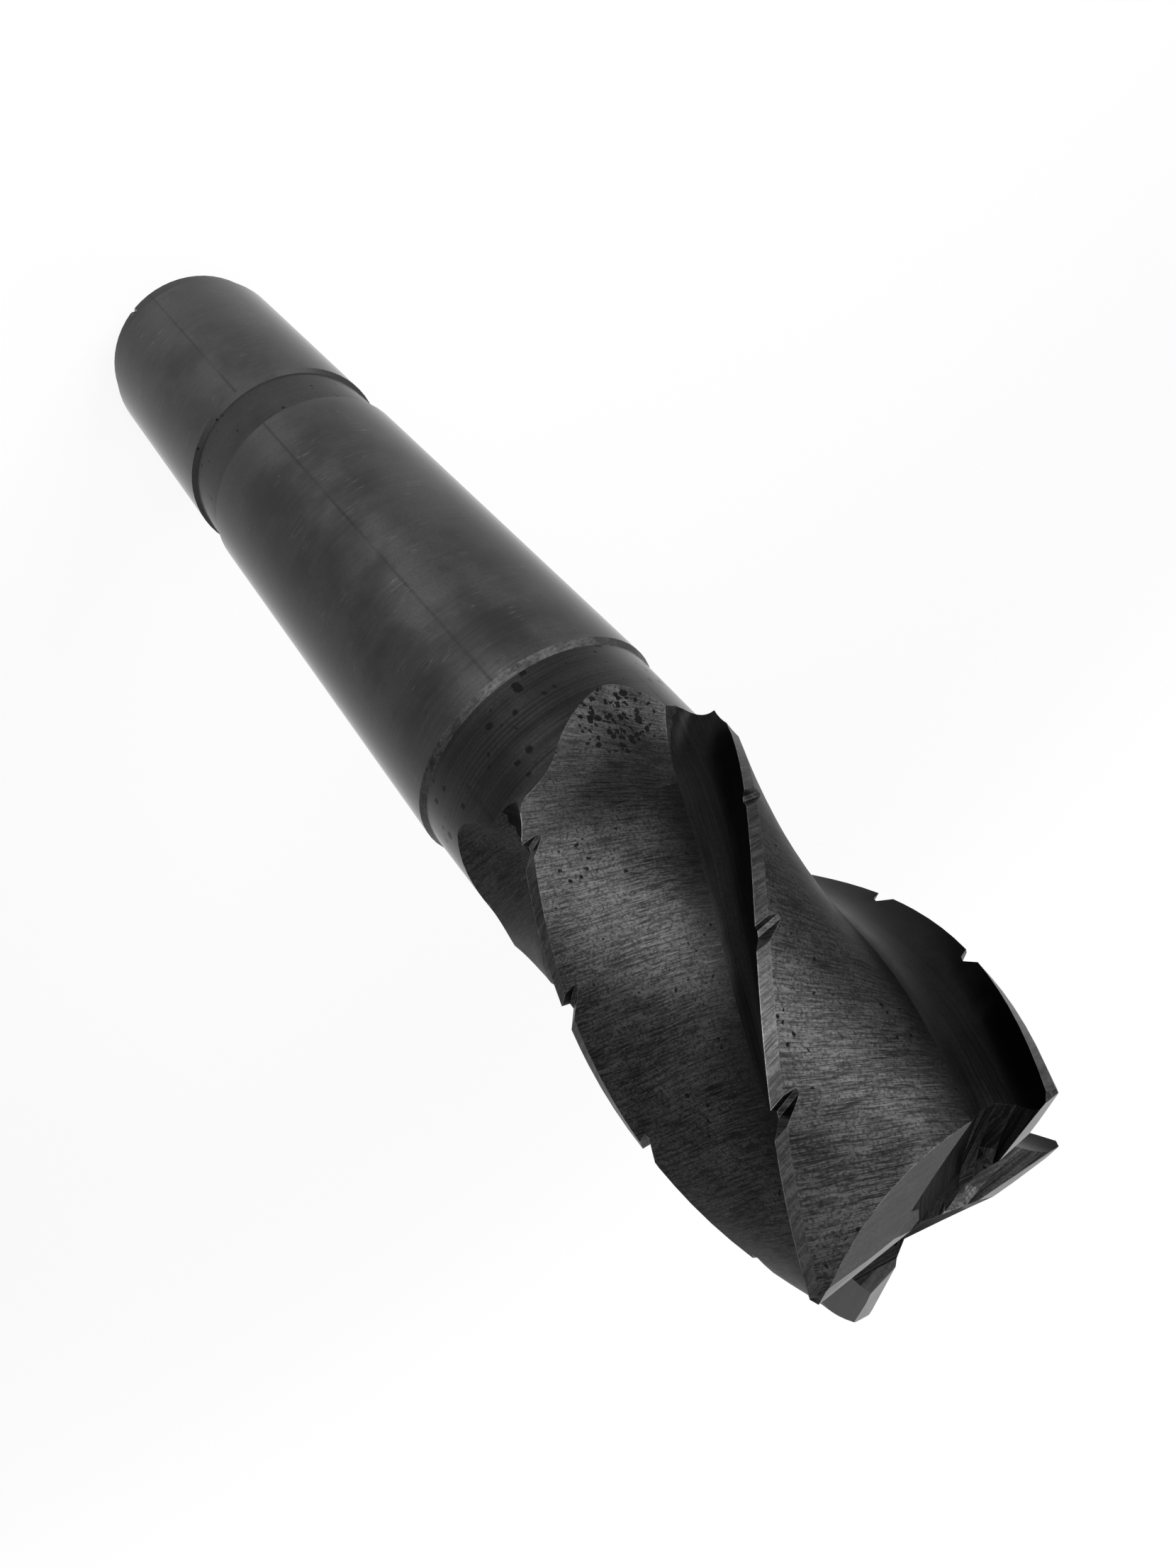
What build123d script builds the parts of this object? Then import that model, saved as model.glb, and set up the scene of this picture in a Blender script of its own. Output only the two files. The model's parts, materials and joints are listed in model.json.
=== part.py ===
"""Roughing end mill, 50 mm diameter, four flutes, Morse taper 5 shank with drawbar thread.

Frame: millimetres, origin at the centre of the shank's small end, +Z along the axis to the cutting end.
The tool is ground from one bar, so it is one solid.
"""

from build123d import *
import os
from math import atan2, cos, degrees, pi, radians, sin, sqrt, tan

# Morse taper 5 shank
TAPER_LENGTH = 136.0          # small end face to the collar edge
COLLAR_RADIUS = 22.37         # taper radius at the collar edge
TAPER_RATIO = 1 / 19.002      # on diameter
END_BAND_RADIUS = 18.0        # turned band at the small end, below the taper
END_BAND_LENGTH = 3.2
END_BAND_CHAMFER = 0.4
RELIEF_START = 44.8           # unground relief recess round the taper
RELIEF_END = 56.7
RELIEF_DEPTH = 0.7

# Drawbar centre hole
THREAD_BORE_RADIUS = 8.75     # M20 core, the thread itself is not modelled
THREAD_BORE_DEPTH = 53.0
COUNTERBORE_RADIUS = 10.5
COUNTERBORE_DEPTH = 12.5
CENTRE_CONE_RADIUS = 14.2
CENTRE_CONE_ANGLE = 60.0
DRILL_POINT_ANGLE = 118.0

# Neck and head
COLLAR_CHAMFER = 1.2          # axial length of the chamfer under the collar edge
NECK_RADIUS = 21.7
NECK_LENGTH = 19.7            # collar edge to the rear ends of the teeth
FLUTED_LENGTH = 72.6          # rear ends of the teeth to the end cutting edges
CUTTER_RADIUS = 25.0
GRINDING_STOCK = 0.05         # blank over the cutter radius, ground off with the lands
CORNER_CHAMFER = 0.9

# Helical flutes
TOOTH_COUNT = 4
HELIX_ANGLE = 36.0            # right hand
FIRST_TOOTH_ANGLE = 136.2     # corner of the first tooth, about +Z from +X
RAKE_ANGLE = 13.0
CORE_RADIUS = 16.5
FLUTE_BOTTOM_RADIUS = 7.0
TOOTH_BACK_RADIUS = 39.0
LAND_WIDTH = 2.1
LAND_RELIEF_ANGLE = 8.0
RUN_OUT_START = 7.6           # full depth ends this far in front of the rear ends of the teeth
VALLEY_WHEEL_RADIUS = 20.0    # curve of the run-out in front of the rake face
VALLEY_LIFT_ANGLE = 22.0      # direction of that lift, ahead of the cutting edge
BACK_WHEEL_RADIUS = 39.0      # curve of the run-out under the next tooth's back
BACK_LIFT_ANGLE = 55.0
RUN_OUT_LIFT = 9.5            # lift at which the milling cutter is clear

# Chip-breaker notches, on a single right-hand helix round the head
NOTCH_PITCH = 18.0
NOTCH_FIRST = 18.7            # steep wall of the first tooth's first notch, from the rear ends of the teeth
NOTCH_DEPTH = 1.75
NOTCH_WIDTH = 2.9
NOTCH_WALL_LEAN = 0.35
NOTCH_ROOT_CHAMFER = 0.6      # flat root, legs of the chamfer
NOTCH_MARGIN = 4.0            # no notch nearer than this to either end of the teeth
NOTCH_FALL_ANGLE = 5.0        # groove runs deeper than the tangent behind the cutting edge
NOTCH_LENGTH = 14.0

# End teeth
DISH_ANGLE = 2.2
PRIMARY_WIDTH = 3.0
PRIMARY_ANGLE = 5.0
SECONDARY_ANGLE = 28.0
GASH_DEPTH = 4.2              # lowest point of the floor below the corners
GASH_BOTTOM_REACH = 19.8      # distance of that point from the axis, along the tooth
GASH_FLOOR_TILT = 12.6        # floor rises away from the tooth
GASH_WHEEL_RADIUS = 60.0
GASH_SWEEP = 60.0
GASH_WALL_RAKE = 5.0
GASH_ROOT_RADIUS = 2.2        # drawn as two flats

# Wear
RIM_NICK_ANGLE = 101.0
RIM_NICK_WIDTH = 2.2
RIM_NICK_DEPTH = 0.7

# Worked out from the sizes above
HEAD_START = TAPER_LENGTH + NECK_LENGTH
TIP = HEAD_START + FLUTED_LENGTH
LEAD = 2 * pi * CUTTER_RADIUS / tan(radians(HELIX_ANGLE))
TURN_PER_MM = 360 / LEAD
TOOTH_STEP = 360 / TOOTH_COUNT
BLANK_RADIUS = CUTTER_RADIUS + GRINDING_STOCK
OVERRUN = 6.0                 # how far cutting bodies pass the material
CLEARANCE = 1.0               # how far they pass a face that they only have to clear
CLOSE_NEAR = 0.22             # shares of the tooth step where a flute outline closes outside the blank
CLOSE_FAR = 0.72
FLUTE_STEPS = 13
RUN_OUT_STEPS = 5


def taper_radius(z):
    """Radius of the ground taper at height z."""
    return COLLAR_RADIUS - (TAPER_LENGTH - z) * TAPER_RATIO / 2


def blank_profile():
    """Half section of the turned and taper-ground blank, in the XZ plane."""
    shoulder = CUTTER_RADIUS - NECK_RADIUS
    band_step = taper_radius(END_BAND_LENGTH) - END_BAND_RADIUS
    front = BLANK_RADIUS - CUTTER_RADIUS + CORNER_CHAMFER
    lower = Polyline(
        (0, 0),
        (END_BAND_RADIUS - END_BAND_CHAMFER, 0),
        (END_BAND_RADIUS, END_BAND_CHAMFER),
        (END_BAND_RADIUS, END_BAND_LENGTH),
        (taper_radius(END_BAND_LENGTH + band_step), END_BAND_LENGTH + band_step),
        (taper_radius(RELIEF_START), RELIEF_START),
        (taper_radius(RELIEF_START) - RELIEF_DEPTH, RELIEF_START + RELIEF_DEPTH),
        (taper_radius(RELIEF_END) - RELIEF_DEPTH, RELIEF_END - RELIEF_DEPTH),
        (taper_radius(RELIEF_END), RELIEF_END),
        (COLLAR_RADIUS, TAPER_LENGTH),
        (NECK_RADIUS, TAPER_LENGTH + COLLAR_CHAMFER),
        (NECK_RADIUS, HEAD_START - shoulder),
    )
    fillet_arc = ThreePointArc(
        (NECK_RADIUS, HEAD_START - shoulder),
        (CUTTER_RADIUS - shoulder * cos(pi / 4), HEAD_START - shoulder + shoulder * sin(pi / 4)),
        (CUTTER_RADIUS, HEAD_START),
    )
    upper = Polyline(
        (CUTTER_RADIUS, HEAD_START),
        (BLANK_RADIUS, HEAD_START),
        (BLANK_RADIUS, TIP - front),
        (BLANK_RADIUS - front, TIP),
        (0, TIP),
        (0, 0),
    )
    return Plane.XZ * make_face([lower, fillet_arc, upper])


def drawbar_hole():
    """Threaded centre hole with counterbore, centre cone and drill point."""
    cone_length = (CENTRE_CONE_RADIUS - COUNTERBORE_RADIUS) / tan(radians(CENTRE_CONE_ANGLE / 2))
    point_length = THREAD_BORE_RADIUS / tan(radians(DRILL_POINT_ANGLE / 2))
    section = Polyline(
        (0, -OVERRUN),
        (CENTRE_CONE_RADIUS, -OVERRUN),
        (CENTRE_CONE_RADIUS, 0),
        (COUNTERBORE_RADIUS, cone_length),
        (COUNTERBORE_RADIUS, COUNTERBORE_DEPTH),
        (THREAD_BORE_RADIUS, COUNTERBORE_DEPTH),
        (THREAD_BORE_RADIUS, THREAD_BORE_DEPTH),
        (0, THREAD_BORE_DEPTH + point_length),
        close=True,
    )
    return revolve(Plane.XZ * make_face(section), Axis.Z)


def rake_directions():
    """Unit vectors down the rake face and out of it, with the cutting edge on +X."""
    rake = radians(RAKE_ANGLE)
    return Vector(-cos(rake), -sin(rake)), Vector(-sin(rake), cos(rake))


def land_heel():
    """Rear edge of the land of the tooth that follows the flute, one tooth step ahead."""
    relief = radians(LAND_RELIEF_ANGLE)
    edge = Vector(CUTTER_RADIUS, 0)
    heel = edge + Vector(-sin(relief), -cos(relief)) * LAND_WIDTH
    return heel.rotate(Axis.Z, TOOTH_STEP)


def flute_wire():
    """Outline of one flute across the axis: rake face, round bottom, tooth back and land, closed outside."""
    down, out = rake_directions()
    edge = Vector(CUTTER_RADIUS, 0)
    heel = land_heel()

    # Bottom circle: tangent to the rake face and to the core
    base = edge + out * FLUTE_BOTTOM_RADIUS
    reach = base.dot(down)
    rake_length = -reach - sqrt(reach**2 - base.dot(base) + (CORE_RADIUS + FLUTE_BOTTOM_RADIUS) ** 2)
    bottom_centre = base + down * rake_length
    rake_foot = edge + down * rake_length

    # Back circle: through the heel and tangent to the bottom circle
    span = bottom_centre - heel
    far = TOOTH_BACK_RADIUS + FLUTE_BOTTOM_RADIUS
    along = (TOOTH_BACK_RADIUS**2 - far**2 + span.length**2) / (2 * span.length)
    aside = sqrt(TOOTH_BACK_RADIUS**2 - along**2)
    unit = span.normalized()
    back_centre = heel + unit * along + Vector(unit.Y, -unit.X) * aside
    back_foot = bottom_centre + (back_centre - bottom_centre).normalized() * FLUTE_BOTTOM_RADIUS

    core_point = bottom_centre - bottom_centre.normalized() * FLUTE_BOTTOM_RADIUS
    back_middle = ((heel + back_foot) * 0.5 - back_centre).normalized() * TOOTH_BACK_RADIUS + back_centre
    next_edge = edge.rotate(Axis.Z, TOOTH_STEP)
    land_out = heel + (next_edge - heel) * (1 + OVERRUN / LAND_WIDTH)
    clear = Vector(BLANK_RADIUS + 2 * OVERRUN, 0)
    close_far = clear.rotate(Axis.Z, TOOTH_STEP * CLOSE_FAR)
    close_near = clear.rotate(Axis.Z, TOOTH_STEP * CLOSE_NEAR)
    rake_out = edge - down * OVERRUN
    return Wire(
        [
            Edge.make_line(rake_out, rake_foot),
            Edge.make_three_point_arc(rake_foot, core_point, back_foot),
            Edge.make_three_point_arc(back_foot, back_middle, heel),
            Edge.make_line(heel, land_out),
            Edge.make_line(land_out, close_far),
            Edge.make_line(close_far, close_near),
            Edge.make_line(close_near, rake_out),
        ]
    )


def lift_steps(wheel_radius):
    """Drop behind the start of a run-out and lift there, along the curve of the milling cutter."""
    reach = sqrt(wheel_radius**2 - (wheel_radius - RUN_OUT_LIFT) ** 2)
    steps = []
    for step in range(1, RUN_OUT_STEPS + 1):
        travel = reach * step / RUN_OUT_STEPS
        lift = wheel_radius - sqrt(wheel_radius**2 - travel**2)
        steps.append((travel * cos(radians(HELIX_ANGLE)), lift))
    return steps


def edge_angle(z):
    """Angle of the first tooth's cutting edge at height z."""
    return FIRST_TOOTH_ANGLE + (z - TIP) * TURN_PER_MM


def flute_body():
    """Space that one flute takes: a helical run of the flute outline that lifts out at the rear."""
    section = flute_wire()
    start = HEAD_START + RUN_OUT_START
    top = TIP + CLEARANCE
    sections = []
    for step in range(FLUTE_STEPS + 1):
        z = top + (start - top) * step / FLUTE_STEPS
        sections.append(Pos(0, 0, z) * Rot(0, 0, edge_angle(z)) * section)
    for drop, lift in lift_steps(VALLEY_WHEEL_RADIUS):
        z = start - drop
        shift = Vector(lift, 0).rotate(Axis.Z, VALLEY_LIFT_ANGLE)
        sections.append(Pos(0, 0, z) * Rot(0, 0, edge_angle(z)) * Pos(shift) * section)
    return Solid.make_loft(sections)


def run_out_body():
    """Space where the milling cutter leaves the back of the flute, lifting without further twist."""
    section = flute_wire()
    start = HEAD_START + RUN_OUT_START
    sections = [Pos(0, 0, start) * section]
    for drop, lift in lift_steps(BACK_WHEEL_RADIUS):
        shift = Vector(lift, 0).rotate(Axis.Z, BACK_LIFT_ANGLE)
        sections.append(Pos(0, 0, start - drop) * Pos(shift) * section)
    return Rot(0, 0, edge_angle(start)) * Solid.make_loft(sections)


def notch_body():
    """Groove behind the cutting edge on +X, with the steep wall at height zero on its shank side."""
    root = CUTTER_RADIUS - NOTCH_DEPTH
    clear = BLANK_RADIUS + CLEARANCE
    slope = (NOTCH_WIDTH - NOTCH_WALL_LEAN) / NOTCH_DEPTH
    sharp = Polyline(
        (clear, -NOTCH_WALL_LEAN * (clear - CUTTER_RADIUS) / NOTCH_DEPTH),
        (root, NOTCH_WALL_LEAN),
        (clear, NOTCH_WALL_LEAN + slope * (clear - root)),
        close=True,
    )
    face = make_face(sharp)
    corner = face.vertices().sort_by(Axis.X)[0]
    profile = Plane.XZ * chamfer(corner, NOTCH_ROOT_CHAMFER)
    groove = extrude(profile, amount=NOTCH_LENGTH) + extrude(profile, amount=-OVERRUN)
    return Pos(root, 0, 0) * Rot(0, 0, -NOTCH_FALL_ANGLE) * Pos(-root, 0, 0) * groove


def notch_places():
    """Tooth number and height of every notch."""
    places = []
    for tooth in range(TOOTH_COUNT):
        first = NOTCH_FIRST + tooth * NOTCH_PITCH / TOOTH_COUNT
        first -= NOTCH_PITCH * int((first - NOTCH_MARGIN) / NOTCH_PITCH)
        height = first
        while height < FLUTED_LENGTH - NOTCH_MARGIN - NOTCH_WIDTH:
            places.append((tooth, HEAD_START + height))
            height += NOTCH_PITCH
    return places


def notch_bodies():
    """All notches, each leaning with the helix that they lie on."""
    lean = degrees(atan2(NOTCH_PITCH, 2 * pi * CUTTER_RADIUS))
    notch = Pos(CUTTER_RADIUS, 0, 0) * Rot(lean, 0, 0) * Pos(-CUTTER_RADIUS, 0, 0) * notch_body()
    return [
        Pos(0, 0, z) * Rot(0, 0, edge_angle(z) + tooth * TOOTH_STEP) * notch
        for tooth, z in notch_places()
    ]


def end_edge_plane():
    """Plane across the first tooth's end edge: x is behind the edge, y is up, z is inwards."""
    out = rake_directions()[1]
    corner = Vector(CUTTER_RADIUS, 0, TIP)
    return Plane(origin=corner, x_dir=out * -1, z_dir=out.cross(Vector(0, 0, 1)) * -1)


def end_relief_body():
    """Stock ground off behind one end edge: narrow primary and steep secondary relief."""
    drop = PRIMARY_WIDTH * tan(radians(PRIMARY_ANGLE))
    reach = CUTTER_RADIUS
    outline = Polyline(
        (0, 0),
        (PRIMARY_WIDTH, -drop),
        (reach, -drop - (reach - PRIMARY_WIDTH) * tan(radians(SECONDARY_ANGLE))),
        (reach, OVERRUN),
        (0, OVERRUN),
        close=True,
    )
    face = end_edge_plane() * make_face(outline)
    return extrude(face, amount=CUTTER_RADIUS + CLEARANCE) + extrude(face, amount=-OVERRUN)


def dish_body():
    """Shallow cone that leaves the end edges lower towards the axis."""
    depth = CUTTER_RADIUS * tan(radians(DISH_ANGLE))
    section = Polyline((0, TIP - depth), (CUTTER_RADIUS, TIP), (0, TIP), close=True)
    return revolve(Plane.XZ * make_face(section), Axis.Z)


def gash_body():
    """Wheel-ground groove in front of one end edge: undercut wall, round root, floor curved along the tooth."""
    down, out = rake_directions()
    up = Vector(0, 0, 1)
    edge_offset = Vector(CUTTER_RADIUS, 0).dot(out)
    bottom = TIP - GASH_DEPTH
    section = Plane(origin=down * -GASH_BOTTOM_REACH + up * bottom, x_dir=out, z_dir=down * -1)
    tilt = tan(radians(GASH_FLOOR_TILT))
    lean = tan(radians(GASH_WALL_RAKE))
    wall_top = GASH_DEPTH + OVERRUN
    wall_foot = edge_offset - lean * GASH_DEPTH
    across = 2 * CUTTER_RADIUS

    # Root between the wall and the floor
    root = Vector(wall_foot, wall_foot * tilt)
    up_wall = Vector(lean, 1).normalized()
    along_floor = Vector(1, tilt).normalized()
    inward = (up_wall + along_floor).normalized()
    half_angle = radians(up_wall.get_angle(along_floor) / 2)
    setback = GASH_ROOT_RADIUS / tan(half_angle)
    root_middle = root + inward * GASH_ROOT_RADIUS * (1 / sin(half_angle) - 1)

    outline = Polyline(
        root + up_wall * setback,
        root_middle,
        root + along_floor * setback,
        (across, across * tilt),
        (across, across * tilt + wall_top),
        (wall_foot + lean * wall_top, wall_top),
        close=True,
    )
    profile = section * make_face(outline)
    wheel_axis = Axis(section.origin + up * GASH_WHEEL_RADIUS, out)
    half = revolve(profile, wheel_axis, revolution_arc=GASH_SWEEP)
    return half.rotate(wheel_axis, -GASH_SWEEP / 2)


def round_the_teeth(body, angle=0.0):
    """The same body at every tooth."""
    return [Rot(0, 0, angle + tooth * TOOTH_STEP) * body for tooth in range(TOOTH_COUNT)]


def rim_nick():
    """Small dent in the rim of the shank's small end."""
    wedge = Rot(0, 0, 45) * Box(RIM_NICK_WIDTH / sqrt(2), RIM_NICK_WIDTH / sqrt(2), END_BAND_LENGTH)
    centre = END_BAND_RADIUS - RIM_NICK_DEPTH + RIM_NICK_WIDTH / 2
    return Rot(0, 0, RIM_NICK_ANGLE) * Pos(centre, 0, 0) * wedge


def build():
    """The finished tool."""
    tool = revolve(blank_profile(), Axis.Z)
    tool = tool.cut(drawbar_hole(), rim_nick())
    tool = tool.cut(*round_the_teeth(flute_body()))
    tool = tool.cut(*round_the_teeth(run_out_body()))
    tool = tool.cut(*notch_bodies())
    tool = tool.cut(dish_body())
    tool = tool.cut(*round_the_teeth(end_relief_body(), FIRST_TOOTH_ANGLE))
    return tool.cut(*round_the_teeth(gash_body(), FIRST_TOOTH_ANGLE))


if __name__ == "__main__":
    os.makedirs("parts", exist_ok=True)
    end_mill = build()
    print("solids", len(end_mill.solids()), "volume", round(end_mill.volume, 1))
    print("faces", len(end_mill.faces()), "valid", end_mill.is_valid)
    export_step(end_mill.solid(), "parts/roughing_end_mill.step")
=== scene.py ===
"""Looks of the roughing end mill.

Dark steel with turned, ground and milled finishes, and the thread in the drawbar hole.
"""

import json
import logging
import math
from dataclasses import dataclass, field
from enum import Enum

import bpy
import numpy as np
from mathutils import Matrix, Vector

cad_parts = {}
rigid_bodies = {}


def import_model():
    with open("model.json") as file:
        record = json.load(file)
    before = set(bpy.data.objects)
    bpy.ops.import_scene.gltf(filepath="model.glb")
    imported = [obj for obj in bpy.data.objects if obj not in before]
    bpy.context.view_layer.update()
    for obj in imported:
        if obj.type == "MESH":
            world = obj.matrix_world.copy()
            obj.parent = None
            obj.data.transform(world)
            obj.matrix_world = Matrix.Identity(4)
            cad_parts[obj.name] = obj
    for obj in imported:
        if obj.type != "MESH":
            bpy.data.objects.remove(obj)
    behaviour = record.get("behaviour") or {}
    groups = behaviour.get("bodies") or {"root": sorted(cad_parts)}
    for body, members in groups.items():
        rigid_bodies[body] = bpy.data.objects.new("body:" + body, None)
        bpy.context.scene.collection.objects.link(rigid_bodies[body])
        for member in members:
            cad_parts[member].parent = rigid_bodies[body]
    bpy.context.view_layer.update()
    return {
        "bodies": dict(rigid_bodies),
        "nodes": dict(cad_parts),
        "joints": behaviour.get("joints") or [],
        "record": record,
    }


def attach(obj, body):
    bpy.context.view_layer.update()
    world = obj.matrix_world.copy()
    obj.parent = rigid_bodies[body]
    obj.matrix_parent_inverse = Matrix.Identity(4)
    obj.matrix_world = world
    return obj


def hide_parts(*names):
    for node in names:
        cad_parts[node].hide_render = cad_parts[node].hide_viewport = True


log = logging.getLogger("end_mill")

NODE = "roughing_end_mill"
MM = 0.001

# Corner attribute that holds the lay of the tool marks.
LAY = "lay"

# In metres: gap between corners that are one corner, and size of a sliver.
WELD = 2e-6
SLIVER = 1e-7

# In mm: keeps a division by a radius off zero.
LEAST_RADIUS = 1e-6

# Kinds of group socket.
FLOAT = "NodeSocketFloat"
VECTOR = "NodeSocketVector"

# Sockets of the Mix node when it mixes colours.
MIX_FACTOR, MIX_FIRST, MIX_SECOND, MIX_RESULT = 0, 6, 7, 2

NOISE_MIDDLE = 0.5

Socket = bpy.types.NodeSocket
Sockets = bpy.types.bpy_prop_collection
Span = tuple[float, float]
Triple = tuple[float, float, float]


class Region(Enum):
    """Areas of the tool that were finished in different ways."""

    BAND = "turned_band"
    TAPER = "ground_taper"
    RECESS = "unground_recess"
    COLLAR = "scuffed_collar"
    NECK = "turned_neck"
    BORE = "drawbar_bore"
    RUN_OUT = "pitted_run_out"
    BACK = "milled_back"
    VALLEY = "smooth_valley_painted_shade"
    LAND = "ground_land"
    NOTCH = "cut_notch"
    PRIMARY = "end_primary"
    SECONDARY = "end_secondary"
    GASH = "ground_gash"


@dataclass
class Graph:
    """Adds nodes to one node tree, with each input given as a value or as a link."""

    tree: bpy.types.NodeTree

    def node(self, kind: str, inputs: dict | None = None, **settings: object) -> bpy.types.Node:
        """Adds one node.

        Args:
            kind: Blender's name of the node type.
            inputs: Values or links by socket name or number.
            settings: Properties of the node.

        Returns:
            The new node.
        """
        made = self.tree.nodes.new(kind)
        for name, value in settings.items():
            setattr(made, name, value)
        for name, value in (inputs or {}).items():
            if isinstance(value, Socket):
                self.tree.links.new(value, made.inputs[name])
            else:
                made.inputs[name].default_value = value
        return made

    def math(
        self, operation: str, first: object, second: object = 0.0, clamp: bool = False
    ) -> Socket:
        """Adds a Math node and returns its result, kept between 0 and 1 if clamp is set."""
        inputs = {0: first, 1: second}
        return self.node("ShaderNodeMath", inputs, operation=operation, use_clamp=clamp).outputs[0]

    def product(self, first: object, *others: object) -> Socket:
        """Returns the product of values or links, multiplied one after another."""
        for other in others:
            first = self.math("MULTIPLY", first, other)
        return first

    def ramp(
        self, value: object, low: float, high: float, start: float = 0.0, end: float = 1.0
    ) -> Socket:
        """Maps a value from low..high to start..end, smoothly and clamped.

        Args:
            value: Value or link to map.
            low: Value that gives start.
            high: Value that gives end.
            start: Result at low.
            end: Result at high.

        Returns:
            The result's socket.
        """
        inputs = {"Value": value, "From Min": low, "From Max": high, "To Min": start, "To Max": end}
        made = self.node("ShaderNodeMapRange", inputs, interpolation_type="SMOOTHSTEP")
        return made.outputs["Result"]

    def noise(self, vector: object, scale: float, detail: float, roughness: float = 0.55) -> Socket:
        """Returns a noise value, with the scale in cells per unit of the coordinates."""
        inputs = {"Vector": vector, "Scale": scale, "Detail": detail, "Roughness": roughness}
        return self.node("ShaderNodeTexNoise", inputs).outputs["Fac"]

    def blend(self, factor: object, first: object, second: object) -> Socket:
        """Returns a mix of two colours, with the factor as the second one's share."""
        inputs = {MIX_FACTOR: factor, MIX_FIRST: first, MIX_SECOND: second}
        return self.node("ShaderNodeMix", inputs, data_type="RGBA").outputs[MIX_RESULT]

    def vector(self, operation: str, inputs: dict, output: str = "Vector") -> Socket:
        """Adds a Vector Math node and returns the named socket of its result."""
        return self.node("ShaderNodeVectorMath", inputs, operation=operation).outputs[output]


def grey(value: float) -> tuple[float, float, float, float]:
    """Returns a neutral colour of this linear brightness."""
    return (value, value, value, 1.0)


@dataclass(frozen=True)
class Effect:
    """A surface effect kept as one shader node group, built once and shared by the finishes."""

    name: str
    inputs: tuple[tuple[str, str], ...]
    outputs: tuple[str, ...] = ("Mask",)

    def tree(self) -> bpy.types.NodeTree:
        """Returns the group, built on first use."""
        known = bpy.data.node_groups.get(self.name)
        if known:
            return known
        tree = bpy.data.node_groups.new(self.name, "ShaderNodeTree")
        for name, kind in self.inputs:
            tree.interface.new_socket(name=name, in_out="INPUT", socket_type=kind)
        for name in self.outputs:
            tree.interface.new_socket(name=name, in_out="OUTPUT", socket_type=FLOAT)
        graph = Graph(tree)
        entry = graph.node("NodeGroupInput")
        results = self.wire(graph, entry.outputs)
        graph.node("NodeGroupOutput", results)
        return tree

    def wire(self, graph: Graph, given: Sockets) -> dict:
        """Adds the effect's own nodes.

        Args:
            graph: The group's graph.
            given: Sockets of the group's inputs.

        Returns:
            Sockets by output name.
        """
        raise NotImplementedError

    def place(self, graph: Graph, inputs: dict) -> Sockets:
        """Puts the group in a material, with all its inputs, and returns its outputs."""
        return graph.node("ShaderNodeGroup", inputs, node_tree=self.tree()).outputs


@dataclass(frozen=True)
class ToolMarks(Effect):
    """Streaks left by a tool, from the lay in mm: x across the marks and y along them.

    Each layer is an output's name, its size beside the given width and length, and its detail.
    """

    name: str = "tool_marks"
    inputs: tuple = (("Lay", VECTOR), ("Width", FLOAT), ("Length", FLOAT), ("Waver", FLOAT))
    outputs: tuple = ("Fine", "Coarse")
    drift_reach: float = 10.0
    layers: tuple = (("Fine", 1.0, 2.0), ("Coarse", 3.2, 3.0))

    def wire(self, graph: Graph, given: Sockets) -> dict:
        """Adds the layers of stretched noise. See Effect.wire."""
        parts = graph.node("ShaderNodeSeparateXYZ", {0: given["Lay"]}).outputs
        drift = graph.noise(given["Lay"], scale=0.12, detail=2.0)
        drift = graph.product(graph.math("SUBTRACT", drift, NOISE_MIDDLE), given["Waver"])
        across = graph.math("ADD", parts[0], graph.product(drift, self.drift_reach))
        results = {}
        for output, size, detail in self.layers:
            fast = graph.math("DIVIDE", across, graph.product(given["Width"], size))
            slow = graph.math("DIVIDE", parts[1], graph.product(given["Length"], size))
            vector = graph.node("ShaderNodeCombineXYZ", {0: fast, 1: slow, 2: size}).outputs[0]
            results[output] = graph.noise(vector, scale=1.0, detail=detail, roughness=0.6)
        return results


@dataclass(frozen=True)
class Tarnish(Effect):
    """Cloudy change of tone in the black finish."""

    name: str = "tarnish"
    inputs: tuple = (("Place", VECTOR), ("Size", FLOAT))
    outputs: tuple = ("Cloud", "Speck")

    def wire(self, graph: Graph, given: Sockets) -> dict:
        """Adds wide clouds and small specks. See Effect.wire."""
        shrink = graph.math("DIVIDE", 1.0, given["Size"])
        shrunk = graph.vector("SCALE", {0: given["Place"], "Scale": shrink})
        return {
            "Cloud": graph.noise(shrunk, scale=1.0, detail=4.0, roughness=0.6),
            "Speck": graph.noise(given["Place"], scale=2.6, detail=3.0, roughness=0.7),
        }


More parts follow.
